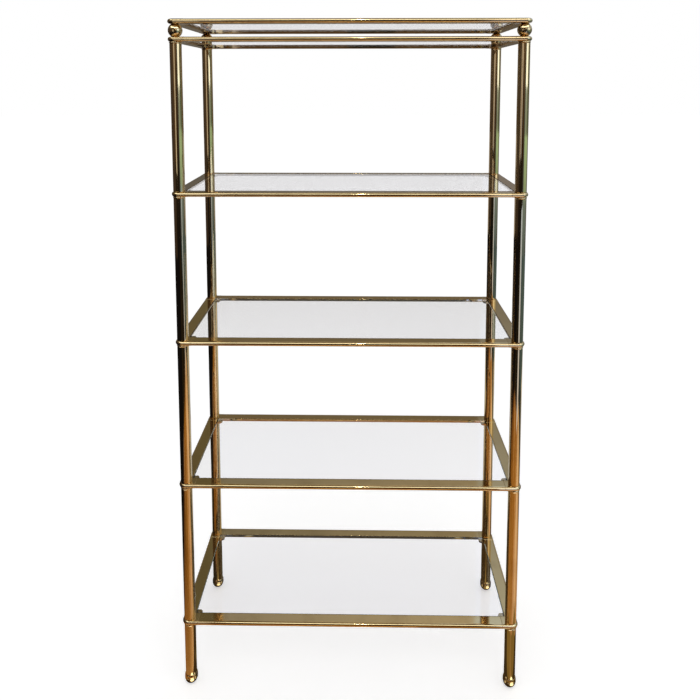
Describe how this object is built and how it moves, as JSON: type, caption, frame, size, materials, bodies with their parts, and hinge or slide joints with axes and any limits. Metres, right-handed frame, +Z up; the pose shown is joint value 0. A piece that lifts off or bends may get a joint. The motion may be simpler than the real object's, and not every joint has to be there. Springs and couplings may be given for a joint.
{
  "type": "etagere",
  "caption": "Open display etagere with round brass posts, ball finials under the top frame and lift-out glass shelves in slim bullnose brass frames.",
  "frame": {"origin": "on the floor under the feet, midway between the four posts", "axes": "+Z up; the front is the long side towards -Y; +X to the right as seen from the front"},
  "size_m": [0.9094, 0.3734, 1.8003],
  "materials": {
    "brass": "polished, lacquered, slightly darkened with age",
    "glass": "clear float glass with ground and polished edges",
    "steel": "bright zinc-plated thread and screws"
  },
  "bodies": {
    "frame": {"bay_1_tubes": "brass", "bay_2_tubes": "brass", "bay_3_tubes": "brass", "bay_4_tubes": "brass", "collar_plugs": "brass", "crown_back_rail": "brass", "crown_balls": "brass", "crown_corner_castings": "brass", "crown_front_rail": "brass", "crown_left_rail": "brass", "crown_right_rail": "brass", "crown_studs": "steel", "end_plugs": "brass", "feet": "brass", "foot_studs": "steel", "joint_studs": "steel", "leg_tubes": "brass", "rail_screws": "steel", "shelf_1_back_rail": "brass", "shelf_1_corner_castings": "brass", "shelf_1_front_rail": "brass", "shelf_1_left_rail": "brass", "shelf_1_right_rail": "brass", "shelf_2_back_rail": "brass", "shelf_2_corner_castings": "brass", "shelf_2_front_rail": "brass", "shelf_2_left_rail": "brass", "shelf_2_right_rail": "brass", "shelf_3_back_rail": "brass", "shelf_3_corner_castings": "brass", "shelf_3_front_rail": "brass", "shelf_3_left_rail": "brass", "shelf_3_right_rail": "brass", "shelf_4_back_rail": "brass", "shelf_4_corner_castings": "brass", "shelf_4_front_rail": "brass", "shelf_4_left_rail": "brass", "shelf_4_right_rail": "brass", "top_back_rail": "brass", "top_corner_castings": "brass", "top_front_rail": "brass", "top_left_rail": "brass", "top_right_rail": "brass"},
    "shelf_1_pane": {"shelf_1_glass": "glass"},
    "shelf_2_pane": {"shelf_2_glass": "glass"},
    "shelf_3_pane": {"shelf_3_glass": "glass"},
    "shelf_4_pane": {"shelf_4_glass": "glass"},
    "crown_pane": {"crown_glass": "glass"},
    "top_pane": {"top_glass": "glass"}
  },
  "joints": [
    {"name": "lift_shelf_1_pane", "type": "slide", "parent": "frame", "child": "shelf_1_pane", "axis": [0, 0, 1], "range_m": [0, 0.3]},
    {"name": "lift_shelf_2_pane", "type": "slide", "parent": "frame", "child": "shelf_2_pane", "axis": [0, 0, 1], "range_m": [0, 0.3]},
    {"name": "lift_shelf_3_pane", "type": "slide", "parent": "frame", "child": "shelf_3_pane", "axis": [0, 0, 1], "range_m": [0, 0.3]},
    {"name": "lift_shelf_4_pane", "type": "slide", "parent": "frame", "child": "shelf_4_pane", "axis": [0, 0, 1], "range_m": [0, 0.3]},
    {"name": "lift_crown_pane", "type": "slide", "parent": "frame", "child": "crown_pane", "axis": [0, 0, 1], "range_m": [0, 0.03]},
    {"name": "lift_top_pane", "type": "slide", "parent": "frame", "child": "top_pane", "axis": [0, 0, 1], "range_m": [0, 0.3]}
  ]
}
